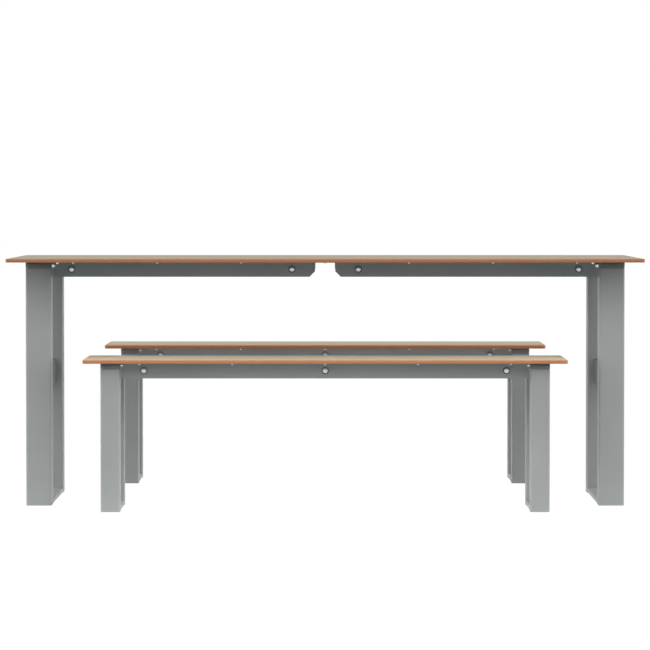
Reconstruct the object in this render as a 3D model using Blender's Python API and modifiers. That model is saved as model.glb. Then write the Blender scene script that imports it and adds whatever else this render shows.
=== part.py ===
"""Long table on two steel end frames, with a pair of free-standing benches that tuck in under it."""

import math
from dataclasses import dataclass

import bmesh
import bpy
from mathutils import Matrix

# Driving dimensions in metres: X runs along the table, Y from front to back, Z up
TABLE_LENGTH = 2.000
TABLE_DEPTH = 0.800
TABLE_HEIGHT = 0.782
TABLE_END_OVERHANG = 0.054
TABLE_SIDE_OVERHANG = 0.111
TABLE_POST = 0.080
TABLE_TOP_BAR_HEIGHT = 0.020
TABLE_FLANGE_WIDTH = 0.040
TABLE_OUTER_TIE_INSET = 0.063
TABLE_INNER_TIE_INSET = 0.073

BENCH_DEPTH = 0.350
BENCH_HEIGHT = 0.472
BENCH_END_CLEARANCE = 0.116
BENCH_END_OVERHANG = 0.054
BENCH_SIDE_OVERHANG = 0.024
BENCH_POST = 0.060
BENCH_TOP_BAR_HEIGHT = 0.017
BENCH_FLANGE_WIDTH = 0.030
BENCH_TIE_INSET = 0.0735

# How far each bench's middle stands from the table's middle
FRONT_BENCH_OFFSET = 0.375
REAR_BENCH_OFFSET = 0.752

# Laminate panels
PANEL_THICKNESS = 0.011
PANEL_CORNER_RADIUS = 0.010
PANEL_ARRIS = 0.0010

# End frames
TUBE_WALL = 0.003
FLAT_TUBE_WALL = 0.002
RUNNER_HEIGHT = 0.016
CROSSBAR_WIDTH = 0.040
CROSSBAR_HEIGHT = 0.080
CROSSBAR_UNDERSIDE = 0.364
TOP_BAR_SETBACK = 0.005

# Folded rails
RAIL_HEIGHT = 0.0475
TIE_DROP = 0.023
SHEET = 0.002
BEND_RADIUS = 0.002
BEND_LAP = 0.006
TAB_SETBACK = 0.004
NOTCH_WIDTH = 0.064
NOTCH_CHAMFER = 0.0175
NOTCH_TOP_LIP = 0.001

# Tie rods with a button head at each end, in spacer tubes
ROD_DIAMETER = 0.010
ROD_CLEARANCE = 0.0005
HEAD_DIAMETER = 0.0175
HEAD_HEIGHT = 0.0055
HEAD_RIM = 0.0012
SOCKET_ACROSS_FLATS = 0.006
SOCKET_DEPTH = 0.003
SPACER_WALL = 0.003

# Gap between pieces that touch, and how far a cutter runs past what it cuts
SEAT_GAP = 0.0003
CUTTER_MARGIN = 0.005

# Facets of round shapes
CORNER_STEPS = 4
ROUND_STEPS = 20
DOME_STEPS = 3


@dataclass
class Furniture:
    """Sizes of one free-standing piece: the table or a bench."""
    name: str
    panel: str
    length: float
    depth: float
    height: float
    end_overhang: float
    side_overhang: float
    post: float
    top_bar_height: float
    flange_width: float
    notch_width: float
    crossbar: bool

    @property
    def underside(self):
        return self.height - PANEL_THICKNESS

    @property
    def post_inner_x(self):
        return self.length / 2 - self.end_overhang - self.post

    @property
    def post_x(self):
        return self.post_inner_x + self.post / 2

    @property
    def post_top(self):
        return self.underside - 2 * SEAT_GAP - self.top_bar_height

    @property
    def frame_depth(self):
        return self.depth - 2 * self.side_overhang

    @property
    def post_y(self):
        return (self.frame_depth - self.post) / 2

    @property
    def web_back_y(self):
        return self.frame_depth / 2 - self.flange_width

    @property
    def tie_z(self):
        return self.underside - SEAT_GAP - TIE_DROP


# Scene and materials

def clear_scene():
    for obj in list(bpy.data.objects):
        bpy.data.objects.remove(obj, do_unlink=True)


def new_collection(name):
    collection = bpy.data.collections.new(name)
    bpy.context.scene.collection.children.link(collection)
    return collection


def new_material(name, color, roughness, metallic):
    material = bpy.data.materials.new(name)
    material.use_nodes = True
    shader = material.node_tree.nodes["Principled BSDF"]
    shader.inputs["Base Color"].default_value = (*color, 1.0)
    shader.inputs["Roughness"].default_value = roughness
    shader.inputs["Metallic"].default_value = metallic
    material.diffuse_color = (*color, 1.0)
    return material


# Outlines

def arc(center_x, center_y, radius, start, sweep):
    angles = [math.radians(start + sweep * step / CORNER_STEPS) for step in range(CORNER_STEPS + 1)]
    return [(center_x + radius * math.cos(a), center_y + radius * math.sin(a)) for a in angles]


def rounded_rectangle(width, height, radius):
    x = width / 2 - radius
    y = height / 2 - radius
    return (arc(x, y, radius, 0, 90) + arc(-x, y, radius, 90, 90)
            + arc(-x, -y, radius, 180, 90) + arc(x, -y, radius, 270, 90))


def circle(radius):
    angles = [2 * math.pi * step / ROUND_STEPS for step in range(ROUND_STEPS)]
    return [(radius * math.cos(a), radius * math.sin(a)) for a in angles]


def bend(leg):
    """Outer and inner edges of a strip that turns down at the origin into a leg of that length."""
    outer_radius = BEND_RADIUS + SHEET
    center = -outer_radius
    outer = [(0, -leg)] + arc(center, center, outer_radius, 0, 90)
    inner = arc(center, center, BEND_RADIUS, 90, -90) + [(-SHEET, -leg)]
    return outer, inner


def angle_outline(flange, leg):
    outer, inner = bend(leg)
    return outer + [(-flange, 0), (-flange, -SHEET)] + inner


def channel_outline(length, leg):
    outer, inner = bend(leg)
    right_outer = [(length / 2 + x, y) for x, y in outer]
    right_inner = [(length / 2 + x, y) for x, y in inner]
    left_outer = [(-x, y) for x, y in reversed(right_outer)]
    left_inner = [(-x, y) for x, y in reversed(right_inner)]
    return right_outer + left_outer + left_inner + right_inner


def notch_outline(width, top, bottom):
    """Gap in a rail's web, whose lower corners are cut off."""
    half = width / 2
    wide = half + NOTCH_CHAMFER
    below = bottom - CUTTER_MARGIN
    right = [(wide, below), (wide, bottom), (half, bottom + NOTCH_CHAMFER), (half, top)]
    left = [(-x, y) for x, y in reversed(right)]
    return right + left


# Shapes

ACROSS_XY = Matrix.Identity(4)
ACROSS_XZ = Matrix.Rotation(math.radians(90), 4, "X")
ACROSS_YZ = Matrix(((0, 0, 1, 0), (1, 0, 0, 0), (0, 1, 0, 0), (0, 0, 0, 1)))


def evaluated_mesh(obj):
    depsgraph = bpy.context.evaluated_depsgraph_get()
    return bpy.data.meshes.new_from_object(obj.evaluated_get(depsgraph))


def weld(mesh):
    work = bmesh.new()
    work.from_mesh(mesh)
    bmesh.ops.remove_doubles(work, verts=work.verts, dist=1e-6)
    bmesh.ops.recalc_face_normals(work, faces=work.faces)
    work.to_mesh(mesh)
    work.free()


def prism(outlines, length, across):
    """Mesh of flat outlines, the inner ones as holes, extruded to both sides of their plane."""
    curve = bpy.data.curves.new("outline", "CURVE")
    curve.dimensions = "2D"
    curve.fill_mode = "BOTH"
    curve.extrude = length / 2
    for points in outlines:
        spline = curve.splines.new("POLY")
        spline.points.add(len(points) - 1)
        for target, (u, v) in zip(spline.points, points):
            target.co = (u, v, 0, 1)
        spline.use_cyclic_u = True
    obj = bpy.data.objects.new("outline", curve)
    workshop.objects.link(obj)
    mesh = evaluated_mesh(obj)
    bpy.data.objects.remove(obj, do_unlink=True)
    weld(mesh)
    mesh.transform(across)
    return mesh


def round_bar(radius, length, sides, across):
    mesh = bpy.data.meshes.new("round_bar")
    work = bmesh.new()
    bmesh.ops.create_cone(work, cap_ends=True, segments=sides, radius1=radius, radius2=radius, depth=length)
    work.to_mesh(mesh)
    work.free()
    mesh.transform(across)
    return mesh


def tube(width, height, wall, length, across):
    outer = rounded_rectangle(width, height, 2 * wall)
    inner = rounded_rectangle(width - 2 * wall, height - 2 * wall, wall)
    return prism([outer, inner], length, across)


def combine(mesh, operands):
    """Mesh after Boolean operations, each an (operation, mesh, position)."""
    obj = bpy.data.objects.new("blank", mesh)
    workshop.objects.link(obj)
    tools = []
    for operation, operand, position in operands:
        tool = bpy.data.objects.new("tool", operand)
        tool.location = position
        tool.hide_render = True
        tool.display_type = "WIRE"
        workshop.objects.link(tool)
        tools.append(tool)
        modifier = obj.modifiers.new(operation.lower(), "BOOLEAN")
        modifier.operation = operation
        modifier.solver = "EXACT"
        modifier.object = tool
    bpy.context.view_layer.update()
    result = evaluated_mesh(obj)
    for used in tools + [obj]:
        bpy.data.objects.remove(used, do_unlink=True)
    weld(result)
    return result


def soften(mesh, width):
    """Mesh with its sharp edges taken off."""
    obj = bpy.data.objects.new("blank", mesh)
    workshop.objects.link(obj)
    modifier = obj.modifiers.new("arris", "BEVEL")
    modifier.width = width
    modifier.segments = 2
    modifier.limit_method = "ANGLE"
    modifier.angle_limit = math.radians(60)
    result = evaluated_mesh(obj)
    bpy.data.objects.remove(obj, do_unlink=True)
    return result


def revolve(profile):
    """Mesh turned round Z from a profile of (radius, height) points, listed from top to bottom."""
    mesh = bpy.data.meshes.new("profile")
    edges = [(index, index + 1) for index in range(len(profile) - 1)]
    mesh.from_pydata([(radius, 0, height) for radius, height in profile], edges, [])
    obj = bpy.data.objects.new("profile", mesh)
    workshop.objects.link(obj)
    modifier = obj.modifiers.new("turn", "SCREW")
    modifier.steps = ROUND_STEPS
    modifier.render_steps = ROUND_STEPS
    modifier.use_merge_vertices = True
    modifier.merge_threshold = 1e-5
    result = evaluated_mesh(obj)
    bpy.data.objects.remove(obj, do_unlink=True)
    weld(result)
    return result


# Pieces, each a mesh that its copies share

def panel_mesh(unit):
    outline = rounded_rectangle(unit.length, unit.depth, PANEL_CORNER_RADIUS)
    return soften(prism([outline], PANEL_THICKNESS, ACROSS_XY), PANEL_ARRIS)


def rail_mesh(unit, tie_positions):
    """Folded rail: origin at mid length, on top of the flange and on the back of the web."""
    bend_depth = SHEET + BEND_RADIUS
    web_height = RAIL_HEIGHT - bend_depth
    length = 2 * (unit.post_inner_x - SEAT_GAP)
    tab = unit.flange_width - TAB_SETBACK
    web = prism([channel_outline(length, tab)], web_height, ACROSS_XY)
    web.transform(Matrix.Translation((0, 0, -bend_depth - web_height / 2)))
    flange_length = length - 2 * bend_depth
    flange = prism([angle_outline(unit.flange_width, bend_depth + BEND_LAP)], flange_length, ACROSS_YZ)
    operations = [("UNION", flange, (0, 0, 0))]
    if unit.notch_width:
        outline = notch_outline(unit.notch_width, -SHEET - NOTCH_TOP_LIP, -RAIL_HEIGHT)
        notch = prism([outline], 2 * SHEET + 2 * bend_depth, ACROSS_XZ)
        operations.append(("DIFFERENCE", notch, (0, 0, 0)))
    hole = round_bar(ROD_DIAMETER / 2 + ROD_CLEARANCE, 4 * SHEET, ROUND_STEPS, ACROSS_XZ)
    for x in tie_positions:
        operations.append(("DIFFERENCE", hole, (x, -SHEET / 2, -TIE_DROP)))
    return combine(web, operations)


def spacer_mesh(unit):
    bore = ROD_DIAMETER / 2 + ROD_CLEARANCE
    length = 2 * (unit.web_back_y - SEAT_GAP)
    return prism([circle(bore + SPACER_WALL), circle(bore)], length, ACROSS_XZ)


def tie_rod_mesh(unit):
    """Rod along Y with a button head and a hexagon socket at each end."""
    head_seat = unit.web_back_y + SHEET + SEAT_GAP
    rise = HEAD_HEIGHT - HEAD_RIM
    head = HEAD_DIAMETER / 2
    dome = []
    for step in range(DOME_STEPS + 1):
        angle = math.radians(90 * step / DOME_STEPS)
        dome.append((head * math.sin(angle), head_seat + HEAD_RIM + rise * math.cos(angle)))
    upper = dome + [(head, head_seat), (ROD_DIAMETER / 2, head_seat)]
    lower = [(radius, -height) for radius, height in reversed(upper)]
    rod = revolve(upper + lower)
    rod.transform(ACROSS_XZ)
    socket_radius = SOCKET_ACROSS_FLATS / math.sqrt(3)
    socket = round_bar(socket_radius, SOCKET_DEPTH + CUTTER_MARGIN, 6, ACROSS_XZ)
    socket_y = head_seat + HEAD_HEIGHT + (CUTTER_MARGIN - SOCKET_DEPTH) / 2
    cuts = [("DIFFERENCE", socket, (0, side * socket_y, 0)) for side in (-1, 1)]
    return combine(rod, cuts)


# Assembly

def place(name, mesh, material, parent, location, turn=0.0):
    if not mesh.materials:
        mesh.materials.append(material)
    mesh.shade_smooth()
    mesh.set_sharp_from_angle(angle=math.radians(30))
    obj = bpy.data.objects.new(name, mesh)
    obj.parent = parent
    obj.location = location
    obj.rotation_euler = (0, 0, turn)
    parts.objects.link(obj)


def build_end_frame(unit, parent, side, meshes):
    label = f"{unit.name}_{'left' if side < 0 else 'right'}"
    x = side * unit.post_x
    post_z = unit.post_top / 2
    place(f"{label}_front_post", meshes["post"], steel, parent, (x, -unit.post_y, post_z))
    place(f"{label}_rear_post", meshes["post"], steel, parent, (x, unit.post_y, post_z))
    place(f"{label}_runner", meshes["runner"], steel, parent, (x, 0, RUNNER_HEIGHT / 2))
    top_bar_z = unit.underside - SEAT_GAP - unit.top_bar_height / 2
    place(f"{label}_top_bar", meshes["top_bar"], steel, parent, (x, 0, top_bar_z))
    if unit.crossbar:
        crossbar_z = CROSSBAR_UNDERSIDE + CROSSBAR_HEIGHT / 2
        place(f"{label}_crossbar", meshes["crossbar"], steel, parent, (x, 0, crossbar_z))


def build_furniture(unit, center_y, ties):
    parent = bpy.data.objects.new(f"{unit.name}_place", None)
    parent.location = (0, center_y, 0)
    parts.objects.link(parent)

    panel_z = unit.height - PANEL_THICKNESS / 2
    place(f"{unit.name}_{unit.panel}", panel_mesh(unit), laminate, parent, (0, 0, panel_z))

    rail = rail_mesh(unit, ties.values())
    rail_z = unit.underside - SEAT_GAP
    place(f"{unit.name}_front_rail", rail, steel, parent, (0, -unit.web_back_y, rail_z))
    place(f"{unit.name}_rear_rail", rail, steel, parent, (0, unit.web_back_y, rail_z), math.pi)

    spacer = spacer_mesh(unit)
    tie_rod = tie_rod_mesh(unit)
    for label, x in ties.items():
        place(f"{unit.name}_{label}_spacer", spacer, steel, parent, (x, 0, unit.tie_z))
        place(f"{unit.name}_{label}_tie_rod", tie_rod, stainless, parent, (x, 0, unit.tie_z))

    top_bar_length = unit.frame_depth - 2 * TOP_BAR_SETBACK
    between_posts = unit.frame_depth - 2 * unit.post - 2 * SEAT_GAP
    meshes = {
        "post": tube(unit.post, unit.post, TUBE_WALL, unit.post_top, ACROSS_XY),
        "runner": tube(unit.post, RUNNER_HEIGHT, FLAT_TUBE_WALL, between_posts, ACROSS_XZ),
        "top_bar": tube(unit.post, unit.top_bar_height, FLAT_TUBE_WALL, top_bar_length, ACROSS_XZ),
    }
    if unit.crossbar:
        meshes["crossbar"] = tube(CROSSBAR_WIDTH, CROSSBAR_HEIGHT, TUBE_WALL, between_posts, ACROSS_XZ)
    for side in (-1, 1):
        build_end_frame(unit, parent, side, meshes)


clear_scene()
parts = new_collection("table_and_benches")
workshop = new_collection("workshop")

laminate = new_material("compact_laminate", (0.42, 0.36, 0.29), 0.45, 0.0)
steel = new_material("powder_coated_steel", (0.27, 0.29, 0.29), 0.5, 0.0)
stainless = new_material("stainless_steel", (0.62, 0.64, 0.67), 0.3, 1.0)

table = Furniture(
    name="table", panel="top", length=TABLE_LENGTH, depth=TABLE_DEPTH, height=TABLE_HEIGHT,
    end_overhang=TABLE_END_OVERHANG, side_overhang=TABLE_SIDE_OVERHANG, post=TABLE_POST,
    top_bar_height=TABLE_TOP_BAR_HEIGHT, flange_width=TABLE_FLANGE_WIDTH, notch_width=NOTCH_WIDTH,
    crossbar=True)


def bench(name):
    return Furniture(
        name=name, panel="seat", length=2 * (table.post_inner_x - BENCH_END_CLEARANCE), depth=BENCH_DEPTH,
        height=BENCH_HEIGHT, end_overhang=BENCH_END_OVERHANG, side_overhang=BENCH_SIDE_OVERHANG,
        post=BENCH_POST, top_bar_height=BENCH_TOP_BAR_HEIGHT, flange_width=BENCH_FLANGE_WIDTH,
        notch_width=0.0, crossbar=False)


front_bench = bench("front_bench")
rear_bench = bench("rear_bench")

outer_tie_x = table.post_inner_x - TABLE_OUTER_TIE_INSET
inner_tie_x = NOTCH_WIDTH / 2 + TABLE_INNER_TIE_INSET
bench_tie_x = front_bench.post_inner_x - BENCH_TIE_INSET
table_ties = {
    "left_outer": -outer_tie_x,
    "left_inner": -inner_tie_x,
    "right_inner": inner_tie_x,
    "right_outer": outer_tie_x,
}
bench_ties = {"left": -bench_tie_x, "middle": 0.0, "right": bench_tie_x}

# The origin is midway between the front bench's front edge and the rear bench's back edge
front_reach = max(TABLE_DEPTH / 2, FRONT_BENCH_OFFSET + BENCH_DEPTH / 2)
rear_reach = max(TABLE_DEPTH / 2, REAR_BENCH_OFFSET + BENCH_DEPTH / 2)
table_y = (front_reach - rear_reach) / 2

build_furniture(table, table_y, table_ties)
build_furniture(front_bench, table_y - FRONT_BENCH_OFFSET, bench_ties)
build_furniture(rear_bench, table_y + REAR_BENCH_OFFSET, bench_ties)
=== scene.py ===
import math

import bpy
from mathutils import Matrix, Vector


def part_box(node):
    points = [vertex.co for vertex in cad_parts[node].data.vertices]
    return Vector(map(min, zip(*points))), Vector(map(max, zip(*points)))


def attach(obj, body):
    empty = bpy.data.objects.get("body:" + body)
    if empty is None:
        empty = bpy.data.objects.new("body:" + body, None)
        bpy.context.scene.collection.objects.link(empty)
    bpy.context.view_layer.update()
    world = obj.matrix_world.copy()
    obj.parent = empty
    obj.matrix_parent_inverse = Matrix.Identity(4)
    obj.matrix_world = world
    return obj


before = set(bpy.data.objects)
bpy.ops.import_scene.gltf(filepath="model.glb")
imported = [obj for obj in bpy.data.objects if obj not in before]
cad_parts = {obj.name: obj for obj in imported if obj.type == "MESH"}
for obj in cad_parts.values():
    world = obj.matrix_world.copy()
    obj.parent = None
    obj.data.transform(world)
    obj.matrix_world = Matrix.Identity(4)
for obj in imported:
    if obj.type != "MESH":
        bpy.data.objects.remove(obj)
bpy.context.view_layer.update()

MM = 0.001
WHITE = (1, 1, 1, 1)

# The photograph's view: a long lens, a little above the table top and square to its front
IMAGE_PX = 650
FOCAL_PX = 3587.0
SENSOR_MM = 36.0
CAMERA_X = -0.5 * MM
CAMERA_DISTANCE = 11.612
CAMERA_HEIGHT = 0.970
CAMERA_PITCH_DEG = 2.014
CAMERA_REACH = 200.0

# The three pieces of furniture, each with its laminate panel
PANELS = {"table": "table_top", "front_bench": "front_bench_seat", "rear_bench": "rear_bench_seat"}

# Folded rails and their fasteners, in metres
SHEET = 2.0 * MM
FLOAT_GAP = 0.1 * MM
FLANGE_SCREW_INSET = 18.0 * MM
SCREW_HEAD_DIAMETER = 9.5 * MM
SCREW_HEAD_HEIGHT = 2.75 * MM
SCREW_SOCKET = 3.0 * MM
SCREW_PITCH = {"table": 265.5 * MM, "front_bench": 288.0 * MM, "rear_bench": 288.0 * MM}
SCREWS_EACH_SIDE = {"table": 3, "front_bench": 2, "rear_bench": 2}
END_BOLT_X = 847.0 * MM
BOLT_HEAD_DIAMETER = 14.0 * MM
BOLT_HEAD_HEIGHT = 4.4 * MM
BOLT_SOCKET = 5.0 * MM
HEAD_TAPER = 0.8
NUT_INSET = 20.0 * MM
NUT_DROP = {"table": 12.0 * MM, "front_bench": 6.8 * MM, "rear_bench": 6.8 * MM}
NUT_FLATS = {"table": 13.0 * MM, "front_bench": 8.0 * MM, "rear_bench": 8.0 * MM}
NUT_HEIGHT = {"table": 12.0 * MM, "front_bench": 9.0 * MM, "rear_bench": 9.0 * MM}
NUT_HEXAGON_SHARE = 0.5
NUT_DOME_SHARE = 0.95

# Steel caps on the ends of the top bars, plastic plugs in the feet, black rings round the tie-bolt heads
# as painted shade
BAR_CAP_THICKNESS = 4.0 * MM
BAR_CAP_CORNER_INSET = 0.09
BAR_CAP_SIDE_POWER = 8
BAR_CAP_LEAN_POWER = 2
BAR_CAP_FOOT_POWER = 40
POST_WALL = 3.0 * MM
FOOT_PLUG_THICKNESS = 5.0 * MM
FOOT_PLUG_LIFT = 0.3 * MM
TIE_HEAD_HEIGHT = 5.5 * MM
SHADE_RING_BORE = 17.9 * MM
SHADE_RING_DIAMETER = 22.0 * MM
SHADE_RING_THICKNESS = 1.2 * MM

# Fineness of the small pieces, the angle from which an edge is a fold, and the reach of welds
ROUND_SEGMENTS = 24
SHADE_RING_SEGMENTS = 32
PLUG_CORNER_STEPS = 4
BAR_CAP_STEPS = 25
FOLD_ANGLE = math.radians(32)
WELD_REACH = 0.005 * MM
UNIT_WELD_REACH = 0.0001

# Light tent and floor: strengths where 1 is white, reaches in metres from the middle
SIDE_LIGHT = 4.7
SIDE_LIGHT_FALLOFF = 4
FRONT_LIGHT = 2.95
FRONT_LIGHT_FALLOFF = 8
FRONT_LIGHT_ELEVATION_DEG = 58
FLOOR_GLOW = 1.08
FLOOR_GLOW_SHARE = 0.92
FLOOR_NEAR = 0.5
FLOOR_FAR = 1.6
FLOOR_NEAR_WHITE = 0.9
FLOOR_FAR_WHITE = 0.12
FLOOR_REACH = 60.0
FLOOR_DROP = 0.5 * MM

# Most of a noise lies in this span, and is spread over the tones or the roughness of a finish
NOISE_SPAN = (0.3, 0.7)
RELIEF = 0.1 * MM
RESIN_IOR = 1.5

# Powder coats: two tones of each and how much they shine. The pebbles of the skin are drawn
# coarser than the real 0.3 mm so that they show
FRAME_COAT = ("#A6AAA9", "#AEB2B1", 0.5)
# The caps are coated darker than the frame as painted shade: the shadow under the panel at the post tops
CAP_COAT_PAINTED_SHADE = ("#8C908F", "#949897", 0.5)
# The table rails' bluer tone is painted light: it cancels the warm light thrown down by the panel
RAIL_COAT_PAINTED_LIGHT = ("#98A1A6", "#A0A9AE", 0.5)
# The cross-bars' dark coat is painted shade: the shade on their inner faces under the table
CROSSBAR_COAT_PAINTED_SHADE = ("#666A69", "#6E7271", 0.2)
COAT_DRIFT = 240.0 * MM
COAT_PEBBLE = 1.2 * MM
COAT_BUMP = 0.12
COAT_ROUGHNESS = (0.42, 0.54)

# Fastener metals: two tones of each, and the least and most roughness
STAINLESS = ("#D6D8DE", "#E2E4EA", 0.16, 0.26)
TUMBLED_STAINLESS = ("#C8CAD2", "#D4D6DE", 0.29, 0.37)
TUMBLING_MARK = 1.5 * MM

# Black plastic of the plugs, and of the rings round the tie-bolt heads that are painted shade and
# reflection
BLACK_TONES = ("#44484A", "#4C5052")
PLASTIC_GRAIN = 1.0 * MM
PLASTIC_ROUGHNESS = (0.5, 0.62)

# Two tones of each panel's decor and two of its core. The panels differ as painted light: lighter where
# more light falls
PANEL_FACE_PAINTED_LIGHT = {
    "table": ("#A39686", "#AB9E8E"),
    "front_bench": ("#C8B59B", "#D0BDA3"),
    "rear_bench": ("#B2A18C", "#BAA994")}
PANEL_CORE_PAINTED_LIGHT = {
    "table": ("#B57A50", "#C68B60"),
    "front_bench": ("#CA895D", "#DB996C"),
    "rear_bench": ("#C37D50", "#D48E60")}
BACKING_TONES = ("#929496", "#9A9C9E")

# Laminate: the outer sheets end between these two depths, the printed grain and the core's
# papers have these lengths along X, Y and Z, and the pressed grit is drawn coarse enough to show
OUTER_SHEET_DEPTHS = (0.15 * MM, 0.25 * MM)
GRAIN_LENGTHS = (120.0 * MM, 4.0 * MM, 1.0)
GRAIN_WARP = 0.4
PLY_LENGTHS = (30.0 * MM, 30.0 * MM, 0.6 * MM)
LAMINATE_GRIT = 1.5 * MM
LAMINATE_BUMP = 0.1
LAMINATE_ROUGHNESS = (0.6, 0.7)
LAMINATE_SHINE = 0.05


# Nodes

def add(tree, kind, settings=None, inputs=None):
    """Adds a node: settings are its properties, inputs are values or the sockets to link from."""
    node = tree.nodes.new(kind)
    for key, value in (settings or {}).items():
        setattr(node, key, value)
    for key, value in (inputs or {}).items():
        if isinstance(value, bpy.types.NodeSocket):
            tree.links.new(value, node.inputs[key])
        else:
            node.inputs[key].default_value = value
    return node


def calc(tree, operation, *values):
    """Result of a math node on numbers or sockets."""
    return add(tree, "ShaderNodeMath", {"operation": operation}, dict(enumerate(values))).outputs[0]


def combine(tree, x=0.0, y=0.0, z=0.0):
    """Vector of three numbers or sockets."""
    return add(tree, "ShaderNodeCombineXYZ", inputs={"X": x, "Y": y, "Z": z}).outputs["Vector"]


def separate(tree, vector):
    """The X, Y and Z sockets of a vector."""
    return add(tree, "ShaderNodeSeparateXYZ", inputs={"Vector": vector}).outputs


# Patterns and colours of the materials

def linear(code):
    """Linear RGBA of an sRGB hex colour."""
    channels = [int(code[i:i + 2], 16) / 255 for i in (1, 3, 5)]
    return tuple(c / 12.92 if c <= 0.04045 else ((c + 0.055) / 1.055) ** 2.4 for c in channels) + (1.0,)


def new_material(name):
    """Empty material, its tree and the object coordinates that its patterns lie on."""
    material = bpy.data.materials.new(name)
    material.use_nodes = True
    tree = material.node_tree
    tree.nodes.clear()
    return material, tree, add(tree, "ShaderNodeTexCoord").outputs["Object"]


def noise(tree, place, size, detail=2.0, warp=0.0):
    """Noise with features of one size."""
    texture = add(tree, "ShaderNodeTexNoise", inputs={
        "Vector": place, "Scale": 1 / size, "Detail": detail, "Distortion": warp})
    return texture.outputs["Fac"]


def stretch(tree, place, lengths):
    """Coordinates on which a noise of size 1 has features of these lengths along X, Y and Z."""
    mapping = add(tree, "ShaderNodeMapping", inputs={
        "Vector": place, "Scale": tuple(1 / length for length in lengths)})
    return mapping.outputs["Vector"]


def tones(tree, pattern, dark, light):
    """Colour that goes with a noise from a dark to a light tone."""
    node = add(tree, "ShaderNodeValToRGB", inputs={"Fac": pattern})
    for stop, position, tone in zip(node.color_ramp.elements, NOISE_SPAN, (dark, light)):
        stop.position = position
        stop.color = linear(tone)
    return node.outputs["Color"]


def spread(tree, pattern, least, most):
    """Number that goes with a noise from the least to the most."""
    node = add(tree, "ShaderNodeMapRange", inputs={
        "Value": pattern, "From Min": NOISE_SPAN[0], "From Max": NOISE_SPAN[1],
        "To Min": least, "To Max": most})
    return node.outputs["Result"]


def bumps(tree, pattern, strength):
    """Normals of a skin whose relief is a noise."""
    node = add(tree, "ShaderNodeBump", inputs={
        "Strength": strength, "Distance": RELIEF, "Height": pattern})
    return node.outputs["Normal"]


def blend(tree, share, first, second):
    """Colour that is the first where the share is 0 and the second where it is 1."""
    node = add(tree, "ShaderNodeMix", {"data_type": "RGBA"}, {"Factor": share, 6: first, 7: second})
    return node.outputs[2]


def shade(tree, inputs):
    """Ends a material with one shader."""
    shader = add(tree, "ShaderNodeBsdfPrincipled", inputs=inputs)
    add(tree, "ShaderNodeOutputMaterial", inputs={"Surface": shader.outputs["BSDF"]})


# Materials

def powder_coat(name, dark, light, shine):
    """Powder-coated steel, baked on: an even satin grey with a fine pebbled skin."""
    material, tree, place = new_material(name)
    drift = noise(tree, place, COAT_DRIFT)
    pebble = noise(tree, place, COAT_PEBBLE)
    shade(tree, {
        "Base Color": tones(tree, drift, dark, light),
        "Roughness": spread(tree, pebble, *COAT_ROUGHNESS), "Normal": bumps(tree, pebble, COAT_BUMP),
        "IOR": RESIN_IOR, "Specular IOR Level": shine})
    return material


def compact_laminate(name, low, high, face_tones, core_tones):
    """Dense laminate between two heights: a matt beige decor sheet, a brown core, a grey backing."""
    material, tree, place = new_material(name)
    height = separate(tree, place)["Z"]
    middle = (low + high) / 2
    half_thickness = (high - low) / 2
    grain = noise(tree, stretch(tree, place, GRAIN_LENGTHS), 1.0, detail=3.0, warp=GRAIN_WARP)
    upper = calc(tree, "GREATER_THAN", height, middle)
    sheets = blend(tree, upper, tones(tree, grain, *BACKING_TONES), tones(tree, grain, *face_tones))
    # The saw cut shows the papers of the core between the outer sheets
    ply = noise(tree, stretch(tree, place, PLY_LENGTHS), 1.0)
    off_middle = calc(tree, "ABSOLUTE", calc(tree, "SUBTRACT", height, middle))
    outer = add(tree, "ShaderNodeMapRange", inputs={
        "Value": off_middle, "From Min": half_thickness - OUTER_SHEET_DEPTHS[1],
        "From Max": half_thickness - OUTER_SHEET_DEPTHS[0]}).outputs["Result"]
    grit = noise(tree, place, LAMINATE_GRIT)
    shade(tree, {
        "Base Color": blend(tree, outer, tones(tree, ply, *core_tones), sheets),
        "Roughness": spread(tree, grit, *LAMINATE_ROUGHNESS), "Normal": bumps(tree, grit, LAMINATE_BUMP),
        "IOR": RESIN_IOR, "Specular IOR Level": LAMINATE_SHINE})
    return material


def bright_metal(name, dark, light, smooth, rough):
    """Bare fastener metal: even and bright, with faint tumbling marks."""
    material, tree, place = new_material(name)
    marks = noise(tree, place, TUMBLING_MARK, detail=3.0)
    shade(tree, {
        "Base Color": tones(tree, marks, dark, light), "Metallic": 1.0,
        "Roughness": spread(tree, marks, smooth, rough)})
    return material


def black_plastic():
    """Moulded polyethylene of the plugs and of the painted-shade rings: matt black with a fine
    spark-eroded grain.
    """
    material, tree, place = new_material("black_polyethylene")
    grain = noise(tree, place, PLASTIC_GRAIN)
    shade(tree, {
        "Base Color": tones(tree, grain, *BLACK_TONES),
        "Roughness": spread(tree, grain, *PLASTIC_ROUGHNESS), "IOR": RESIN_IOR})
    return material


def backdrop_rays(tree):
    """1 on the rays that see the backdrop: from the camera, mirrored or let through."""
    rays = add(tree, "ShaderNodeLightPath").outputs
    indirect = calc(tree, "MAXIMUM", rays["Is Glossy Ray"], rays["Is Transmission Ray"])
    return calc(tree, "MAXIMUM", rays["Is Camera Ray"], indirect)


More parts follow.
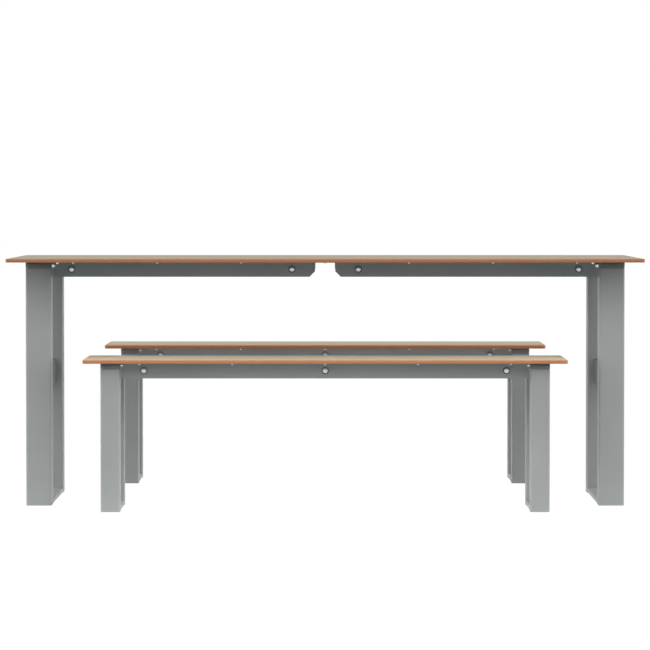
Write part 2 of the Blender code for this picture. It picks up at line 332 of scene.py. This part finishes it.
def white_floor():
    """Matt floor: white to the eye with a trace of the object's shadow. Far out it throws less light."""
    material, tree, place = new_material("white_floor")
    away = add(tree, "ShaderNodeVectorMath", {"operation": "LENGTH"}, {0: place})
    dimming = add(tree, "ShaderNodeMapRange", inputs={
        "Value": away.outputs["Value"], "From Min": FLOOR_NEAR, "From Max": FLOOR_FAR,
        "To Min": FLOOR_NEAR_WHITE, "To Max": FLOOR_FAR_WHITE})
    paint = add(tree, "ShaderNodeBsdfDiffuse", inputs={"Color": dimming.outputs["Result"]})
    glow = add(tree, "ShaderNodeEmission", inputs={"Color": WHITE, "Strength": FLOOR_GLOW})
    glow_share = calc(tree, "MULTIPLY", backdrop_rays(tree), FLOOR_GLOW_SHARE)
    mix = add(tree, "ShaderNodeMixShader", inputs={
        0: glow_share, 1: paint.outputs["BSDF"], 2: glow.outputs["Emission"]})
    add(tree, "ShaderNodeOutputMaterial", inputs={"Surface": mix.outputs["Shader"]})
    return material


# Steps in Geometry Nodes

def new_tree(name, sockets):
    """Empty geometry tree with a geometry in and out, and other inputs given as name: type."""
    tree = bpy.data.node_groups.new(name, "GeometryNodeTree")
    for label, kind in {"Geometry": "NodeSocketGeometry", **sockets}.items():
        tree.interface.new_socket(label, in_out="INPUT", socket_type=kind)
    tree.interface.new_socket("Geometry", in_out="OUTPUT", socket_type="NodeSocketGeometry")
    return tree, add(tree, "NodeGroupInput").outputs


def copies_tree(name, numbers):
    """Empty tree for copies of a small piece, with inputs for these numbers and a finish."""
    sockets = {label: "NodeSocketFloat" for label in numbers}
    return new_tree(name, {**sockets, "Finish": "NodeSocketMaterial"})


def move(tree, shape, offset):
    return add(tree, "GeometryNodeTransform", inputs={
        "Geometry": shape, "Translation": offset}).outputs["Geometry"]


def scale(tree, shape, factors):
    return add(tree, "GeometryNodeTransform", inputs={
        "Geometry": shape, "Scale": factors}).outputs["Geometry"]


def reshape(tree, shape, positions):
    return add(tree, "GeometryNodeSetPosition", inputs={
        "Geometry": shape, "Position": positions}).outputs["Geometry"]


def cut_away(tree, shape, tool):
    return add(tree, "GeometryNodeMeshBoolean", {"operation": "DIFFERENCE", "solver": "EXACT"}, {
        "Mesh 1": shape, "Mesh 2": tool}).outputs["Mesh"]


def weld(tree, shape, reach):
    return add(tree, "GeometryNodeMergeByDistance", inputs={
        "Geometry": shape, "Distance": reach}).outputs["Geometry"]


def close_up(tree, front, back, reach):
    """Closed shape of a front and a back that still faces the same way."""
    turned = add(tree, "GeometryNodeFlipFaces", inputs={"Mesh": back})
    both = add(tree, "GeometryNodeJoinGeometry", inputs={"Geometry": front})
    tree.links.new(turned.outputs["Mesh"], both.inputs["Geometry"])
    return weld(tree, both.outputs["Geometry"], reach)


def fold_crisply(tree, shape):
    """Shades the round stretches of a shape smooth and leaves its folds crisp."""
    angle = add(tree, "GeometryNodeInputMeshEdgeAngle")
    gentle = add(tree, "FunctionNodeCompare", {"operation": "LESS_THAN"}, {
        0: angle.outputs["Unsigned Angle"], 1: FOLD_ANGLE})
    faces = add(tree, "GeometryNodeSetShadeSmooth", {"domain": "FACE"}, {
        "Geometry": shape, "Shade Smooth": True})
    edges = add(tree, "GeometryNodeSetShadeSmooth", {"domain": "EDGE"}, {
        "Geometry": faces.outputs["Geometry"], "Shade Smooth": gentle.outputs["Result"]})
    return edges.outputs["Geometry"]


def dome(tree, diameter, height):
    """Half ellipsoid that stands on a flat base."""
    ball = add(tree, "GeometryNodeMeshUVSphere", inputs={
        "Segments": ROUND_SEGMENTS, "Rings": ROUND_SEGMENTS // 2, "Radius": 1.0})
    spot = separate(tree, add(tree, "GeometryNodeInputPosition").outputs["Position"])
    above = calc(tree, "MAXIMUM", spot["Z"], 0.0)
    half = reshape(tree, ball.outputs["Mesh"], combine(tree, spot["X"], spot["Y"], above))
    radius = calc(tree, "MULTIPLY", diameter, 0.5)
    sized = scale(tree, half, combine(tree, radius, radius, height))
    return add(tree, "GeometryNodeSetShadeSmooth", {"domain": "FACE"}, {
        "Geometry": sized, "Shade Smooth": True}).outputs["Geometry"]


def hexagon(tree, flats, depth):
    """Hexagonal bar of a width across flats, centred on the origin."""
    radius = calc(tree, "DIVIDE", flats, math.sqrt(3))
    return add(tree, "GeometryNodeMeshCylinder", inputs={
        "Vertices": 6, "Radius": radius, "Depth": depth}).outputs["Mesh"]


def seat_copies(tree, given, shape):
    """Ends a tree: a copy of the shape on each point given, turned from +Z to the point's axis."""
    axis = add(tree, "GeometryNodeInputNamedAttribute", {"data_type": "FLOAT_VECTOR"}, {"Name": "axis"})
    turn = add(tree, "FunctionNodeAlignRotationToVector", {"axis": "Z"}, {
        "Vector": axis.outputs["Attribute"]})
    copies = add(tree, "GeometryNodeInstanceOnPoints", inputs={
        "Points": given["Geometry"], "Instance": shape, "Rotation": turn.outputs["Rotation"]})
    real = add(tree, "GeometryNodeRealizeInstances", inputs={"Geometry": copies.outputs["Instances"]})
    painted = add(tree, "GeometryNodeSetMaterial", inputs={
        "Geometry": real.outputs["Geometry"], "Material": given["Finish"]})
    add(tree, "NodeGroupOutput", inputs={"Geometry": painted.outputs["Geometry"]})


# Trees that make the small pieces

def pan_head_tree():
    """Tapered pan heads with a hexagon socket, one on each point."""
    tree, given = copies_tree("pan_heads", ("Head Diameter", "Head Height", "Socket Flats"))
    radius = calc(tree, "MULTIPLY", given["Head Diameter"], 0.5)
    head = add(tree, "GeometryNodeMeshCone", inputs={
        "Vertices": ROUND_SEGMENTS, "Radius Top": calc(tree, "MULTIPLY", radius, HEAD_TAPER),
        "Radius Bottom": radius, "Depth": given["Head Height"]})
    key = hexagon(tree, given["Socket Flats"], given["Head Height"])
    raised_key = move(tree, key, combine(tree, z=given["Head Height"]))
    socketed = cut_away(tree, head.outputs["Mesh"], raised_key)
    seat_copies(tree, given, fold_crisply(tree, socketed))
    return tree


def cap_nut_tree():
    """Domed cap nuts, one on each point: a hexagon with a dome over its middle."""
    tree, given = copies_tree("cap_nuts", ("Flats", "Height"))
    base_height = calc(tree, "MULTIPLY", given["Height"], NUT_HEXAGON_SHARE)
    base = hexagon(tree, given["Flats"], base_height)
    seated = move(tree, base, combine(tree, z=calc(tree, "MULTIPLY", base_height, 0.5)))
    cap = dome(tree, calc(tree, "MULTIPLY", given["Flats"], NUT_DOME_SHARE), given["Height"])
    whole = add(tree, "GeometryNodeMeshBoolean", {"operation": "UNION", "solver": "EXACT"}, {
        "Mesh 2": cap})
    tree.links.new(seated, whole.inputs["Mesh 2"])
    seat_copies(tree, given, whole.outputs["Mesh"])
    return tree


def bar_cap_tree():
    """Caps on the ends of bars, one on each point: flush at the foot, leaning back to the top."""
    tree, given = copies_tree("bar_caps", ("Width", "Height", "Thickness"))
    grid = add(tree, "GeometryNodeMeshGrid", inputs={
        "Size X": 2.0, "Size Y": 2.0, "Vertices X": BAR_CAP_STEPS,
        "Vertices Y": BAR_CAP_STEPS}).outputs["Mesh"]
    place = add(tree, "GeometryNodeInputPosition").outputs["Position"]
    spot = separate(tree, place)
    # The rise is a product of three parts, each of them 0 along its own edges
    sideways = calc(tree, "POWER", spot["X"], BAR_CAP_SIDE_POWER)
    from_foot = calc(tree, "MULTIPLY_ADD", spot["Y"], 0.5, 0.5)
    from_top = calc(tree, "SUBTRACT", 1.0, from_foot)
    side_part = calc(tree, "SUBTRACT", 1.0, sideways)
    lean_part = calc(tree, "SUBTRACT", 1.0, calc(tree, "POWER", from_foot, BAR_CAP_LEAN_POWER))
    foot_part = calc(tree, "SUBTRACT", 1.0, calc(tree, "POWER", from_top, BAR_CAP_FOOT_POWER))
    rise = calc(tree, "MULTIPLY", side_part, calc(tree, "MULTIPLY", lean_part, foot_part))
    # The four corners are drawn in
    upright = calc(tree, "POWER", spot["Y"], BAR_CAP_SIDE_POWER)
    corner = calc(tree, "MULTIPLY", sideways, upright)
    pull = calc(tree, "MULTIPLY_ADD", corner, -BAR_CAP_CORNER_INSET, 1.0)
    plan = add(tree, "ShaderNodeVectorMath", {"operation": "SCALE"}, {0: place, "Scale": pull})
    raised = add(tree, "ShaderNodeVectorMath", {"operation": "ADD"}, {
        0: plan.outputs["Vector"], 1: combine(tree, z=rise)})
    front = reshape(tree, grid, raised.outputs["Vector"])
    back = reshape(tree, grid, plan.outputs["Vector"])
    cap = close_up(tree, front, back, UNIT_WELD_REACH)
    half_width = calc(tree, "MULTIPLY", given["Width"], 0.5)
    half_height = calc(tree, "MULTIPLY", given["Height"], 0.5)
    sized = scale(tree, cap, combine(tree, half_width, half_height, given["Thickness"]))
    seat_copies(tree, given, fold_crisply(tree, sized))
    return tree


def shade_ring_tree():
    """Flat black rings round bolt heads, one on each point: painted shade and reflection round the
    heads.
    """
    tree, given = copies_tree("shade_rings", ("Bore", "Diameter", "Thickness"))
    disc = add(tree, "GeometryNodeMeshCylinder", inputs={
        "Vertices": SHADE_RING_SEGMENTS, "Radius": 0.5, "Depth": 1.0}).outputs["Mesh"]
    plate = scale(tree, disc, combine(tree, given["Diameter"], given["Diameter"], given["Thickness"]))
    drill_length = calc(tree, "MULTIPLY", given["Thickness"], 2.0)
    drill = scale(tree, disc, combine(tree, given["Bore"], given["Bore"], drill_length))
    ring = cut_away(tree, plate, drill)
    seated = move(tree, ring, combine(tree, z=calc(tree, "MULTIPLY", given["Thickness"], 0.5)))
    seat_copies(tree, given, fold_crisply(tree, seated))
    return tree


def tube_plug_tree():
    """Plugs in the ends of tubes, one on each point: a flat head with rounded corners."""
    tree, given = copies_tree("tube_plugs", ("Width", "Height", "Corner Radius", "Thickness"))
    outline = add(tree, "GeometryNodeCurvePrimitiveQuadrilateral", inputs={
        "Width": given["Width"], "Height": given["Height"]})
    rounded = add(tree, "GeometryNodeFilletCurve", {"mode": "POLY"}, {
        "Curve": outline.outputs["Curve"], "Count": PLUG_CORNER_STEPS, "Radius": given["Corner Radius"]})
    face = add(tree, "GeometryNodeFillCurve", {"mode": "NGONS"}, {
        "Curve": rounded.outputs["Curve"]}).outputs["Mesh"]
    raised = add(tree, "GeometryNodeExtrudeMesh", {"mode": "FACES"}, {
        "Mesh": face, "Offset Scale": given["Thickness"], "Individual": False})
    seat_copies(tree, given, close_up(tree, raised.outputs["Mesh"], face, WELD_REACH))
    return tree


def set_copies(name, body, tree, points, values):
    """Plain mesh of the copies that a tree seats on (position, axis) points, riding on a body."""
    mesh = bpy.data.meshes.new(name)
    mesh.from_pydata([position for position, _ in points], [], [])
    axes = mesh.attributes.new("axis", "FLOAT_VECTOR", "POINT")
    for item, (_, axis) in zip(axes.data, points):
        item.vector = axis
    source = bpy.data.objects.new(name + "_points", mesh)
    bpy.context.scene.collection.objects.link(source)
    modifier = source.modifiers.new("copies", "NODES")
    modifier.node_group = tree
    for item in tree.interface.items_tree:
        if item.in_out == "INPUT" and item.name in values:
            modifier[item.identifier] = values[item.name]
    depsgraph = bpy.context.evaluated_depsgraph_get()
    result = bpy.data.meshes.new_from_object(source.evaluated_get(depsgraph))
    bpy.data.objects.remove(source, do_unlink=True)
    result.name = name
    piece = bpy.data.objects.new(name, result)
    bpy.context.scene.collection.objects.link(piece)
    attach(piece, body)


# Small pieces of one piece of furniture

def rail_sides(unit):
    """For the front and the rear rail: its upper corner, the outward Y direction, its outer edge's Y."""
    front_low, front_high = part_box(f"{unit}_front_rail")
    rear_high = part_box(f"{unit}_rear_rail")[1]
    return [(front_high, -1, front_low.y), (rear_high, 1, rear_high.y)]


def dress_rails(unit):
    """Screws and bolts up through the flanges, and cap nuts on the end tabs."""
    screws = []
    bolts = []
    nuts = []
    for high, outward, edge_y in rail_sides(unit):
        flange_z = high.z - SHEET - FLOAT_GAP
        screw_y = edge_y - outward * FLANGE_SCREW_INSET
        nut_y = edge_y - outward * NUT_INSET
        for step in range(-SCREWS_EACH_SIDE[unit], SCREWS_EACH_SIDE[unit] + 1):
            screws.append(((step * SCREW_PITCH[unit], screw_y, flange_z), (0, 0, -1)))
        for side in (-1, 1):
            if unit == "table":
                bolts.append(((side * END_BOLT_X, screw_y, flange_z), (0, 0, -1)))
            tab_x = side * (high.x - SHEET - FLOAT_GAP)
            nuts.append(((tab_x, nut_y, high.z - NUT_DROP[unit]), (-side, 0, 0)))
    set_copies(f"{unit}_flange_screws", unit, pan_heads, screws, {
        "Head Diameter": SCREW_HEAD_DIAMETER, "Head Height": SCREW_HEAD_HEIGHT,
        "Socket Flats": SCREW_SOCKET, "Finish": stainless})
    if bolts:
        set_copies(f"{unit}_end_bolts", unit, pan_heads, bolts, {
            "Head Diameter": BOLT_HEAD_DIAMETER, "Head Height": BOLT_HEAD_HEIGHT,
            "Socket Flats": BOLT_SOCKET, "Finish": stainless})
    set_copies(f"{unit}_tab_nuts", unit, cap_nuts, nuts, {
        "Flats": NUT_FLATS[unit], "Height": NUT_HEIGHT[unit], "Finish": stainless})


def ring_bolts_in_shade(unit):
    """Black rings on the webs round both heads of every tie bolt, as painted shade and reflection."""
    spots = []
    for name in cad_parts:
        if name.startswith(unit) and name.endswith("tie_rod"):
            low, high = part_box(name)
            middle = (low + high) / 2
            spots.append(((middle.x, low.y + TIE_HEAD_HEIGHT - FLOAT_GAP, middle.z), (0, -1, 0)))
            spots.append(((middle.x, high.y - TIE_HEAD_HEIGHT + FLOAT_GAP, middle.z), (0, 1, 0)))
    set_copies(f"{unit}_washers", unit, shade_rings, spots, {
        "Bore": SHADE_RING_BORE, "Diameter": SHADE_RING_DIAMETER, "Thickness": SHADE_RING_THICKNESS,
        "Finish": plastic})


def plug_tubes(unit):
    """Caps on the ends of the top bars and plugs in the feet of the posts."""
    bar_ends = []
    feet = []
    for side in ("left", "right"):
        low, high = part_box(f"{unit}_{side}_top_bar")
        middle = (low + high) / 2
        bar_size = high - low
        bar_ends.append(((middle.x, low.y - FLOAT_GAP, middle.z), (0, -1, 0)))
        bar_ends.append(((middle.x, high.y + FLOAT_GAP, middle.z), (0, 1, 0)))
        for end in ("front", "rear"):
            post_low, post_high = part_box(f"{unit}_{side}_{end}_post")
            post_middle = (post_low + post_high) / 2
            post_width = post_high.x - post_low.x
            foot_z = FOOT_PLUG_THICKNESS + FOOT_PLUG_LIFT
            feet.append(((post_middle.x, post_middle.y, foot_z), (0, 0, -1)))
    # The caps' darker coat is painted shade
    set_copies(f"{unit}_bar_caps", unit, bar_caps, bar_ends, {
        "Width": bar_size.x, "Height": bar_size.z, "Thickness": BAR_CAP_THICKNESS,
        "Finish": cap_steel_painted_shade})
    bore = post_width - 2 * POST_WALL - 2 * FLOAT_GAP
    set_copies(f"{unit}_foot_plugs", unit, tube_plugs, feet, {
        "Width": bore, "Height": bore, "Corner Radius": POST_WALL, "Thickness": FOOT_PLUG_THICKNESS,
        "Finish": plastic})


# Finishes on the solids

def even_shading_tree():
    """Welds a solid's triangles and shades its round stretches smooth, with its folds left crisp."""
    tree, given = new_tree("even_shading", {})
    add(tree, "NodeGroupOutput", inputs={
        "Geometry": fold_crisply(tree, weld(tree, given["Geometry"], WELD_REACH))})
    return tree


def solid_finish(name):
    """Finish of the solid of this name."""
    if name in panel_finish:
        return panel_finish[name]
    if name.endswith("tie_rod"):
        return tie_metal
    # Painted shade: the cross-bars take a darker coat
    if name.endswith("crossbar"):
        return crossbar_steel_painted_shade
    # Painted light: the table rails take a bluer coat
    if name.startswith("table") and name.endswith("rail"):
        return rail_steel_painted_light
    return steel


def finish_solids():
    shading = even_shading_tree()
    for name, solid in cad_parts.items():
        solid.data.materials.clear()
        solid.data.materials.append(solid_finish(name))
        modifier = solid.modifiers.new("even_shading", "NODES")
        modifier.node_group = shading


# Stage, light and camera

def build_stage():
    mesh = bpy.data.meshes.new("floor")
    corners = [(-1, -1), (1, -1), (1, 1), (-1, 1)]
    mesh.from_pydata([(x * FLOOR_REACH, y * FLOOR_REACH, 0) for x, y in corners], [], [(0, 1, 2, 3)])
    mesh.materials.append(white_floor())
    floor = bpy.data.objects.new("floor", mesh)
    floor.location.z = -FLOOR_DROP
    bpy.context.scene.collection.objects.link(floor)


def build_world():
    """White where it is seen. As a lamp, a light tent: bright sides and a lamp high in front."""
    world = bpy.data.worlds.new("white_studio")
    world.use_nodes = True
    bpy.context.scene.world = world
    tree = world.node_tree
    tree.nodes.clear()
    way = add(tree, "ShaderNodeTexCoord").outputs["Generated"]
    sideways = calc(tree, "ABSOLUTE", separate(tree, way)["X"])
    sides = calc(tree, "POWER", sideways, SIDE_LIGHT_FALLOFF)
    rise = math.radians(FRONT_LIGHT_ELEVATION_DEG)
    facing = add(tree, "ShaderNodeVectorMath", {"operation": "DOT_PRODUCT"}, {
        0: way, 1: (0, -math.cos(rise), math.sin(rise))})
    ahead = calc(tree, "MAXIMUM", facing.outputs["Value"], 0.0)
    front = calc(tree, "POWER", ahead, FRONT_LIGHT_FALLOFF)
    tent = calc(tree, "MULTIPLY_ADD", front, FRONT_LIGHT, calc(tree, "MULTIPLY", sides, SIDE_LIGHT))
    strength = add(tree, "ShaderNodeMapRange", inputs={
        "Value": backdrop_rays(tree), "To Min": tent, "To Max": 1.0})
    sky = add(tree, "ShaderNodeBackground", inputs={
        "Color": WHITE, "Strength": strength.outputs["Result"]})
    add(tree, "ShaderNodeOutputWorld", inputs={"Surface": sky.outputs["Background"]})


def build_camera(table_y):
    data = bpy.data.cameras.new("photo_camera")
    data.sensor_width = SENSOR_MM
    data.lens = FOCAL_PX * SENSOR_MM / IMAGE_PX
    data.clip_end = CAMERA_REACH
    camera = bpy.data.objects.new("photo_camera", data)
    camera.location = (CAMERA_X, table_y - CAMERA_DISTANCE, CAMERA_HEIGHT)
    camera.rotation_euler = (math.radians(90 - CAMERA_PITCH_DEG), 0, 0)
    bpy.context.scene.collection.objects.link(camera)
    bpy.context.scene.camera = camera


bpy.context.scene.view_settings.view_transform = "Standard"

steel = powder_coat("powder_coated_steel", *FRAME_COAT)
cap_steel_painted_shade = powder_coat("caps_coat_painted_shade", *CAP_COAT_PAINTED_SHADE)
rail_steel_painted_light = powder_coat("rails_coat_painted_light", *RAIL_COAT_PAINTED_LIGHT)
crossbar_steel_painted_shade = powder_coat("dark_powder_coated_steel", *CROSSBAR_COAT_PAINTED_SHADE)
stainless = bright_metal("stainless_steel", *STAINLESS)
tie_metal = bright_metal("tumbled_stainless_steel", *TUMBLED_STAINLESS)
plastic = black_plastic()
panel_finish = {}
# Each panel gets a laminate of its own, whose tones carry painted light
for unit, panel in PANELS.items():
    panel_low, panel_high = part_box(panel)
    panel_finish[panel] = compact_laminate(
        f"{panel}_laminate", panel_low.z, panel_high.z, PANEL_FACE_PAINTED_LIGHT[unit], PANEL_CORE_PAINTED_LIGHT[unit])
finish_solids()

pan_heads = pan_head_tree()
cap_nuts = cap_nut_tree()
tube_plugs = tube_plug_tree()
bar_caps = bar_cap_tree()
shade_rings = shade_ring_tree()
for unit in PANELS:
    dress_rails(unit)
    ring_bolts_in_shade(unit)
    plug_tubes(unit)

top_low, top_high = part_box("table_top")
table_middle_y = (top_low.y + top_high.y) / 2
build_stage()
build_world()
build_camera(table_middle_y)
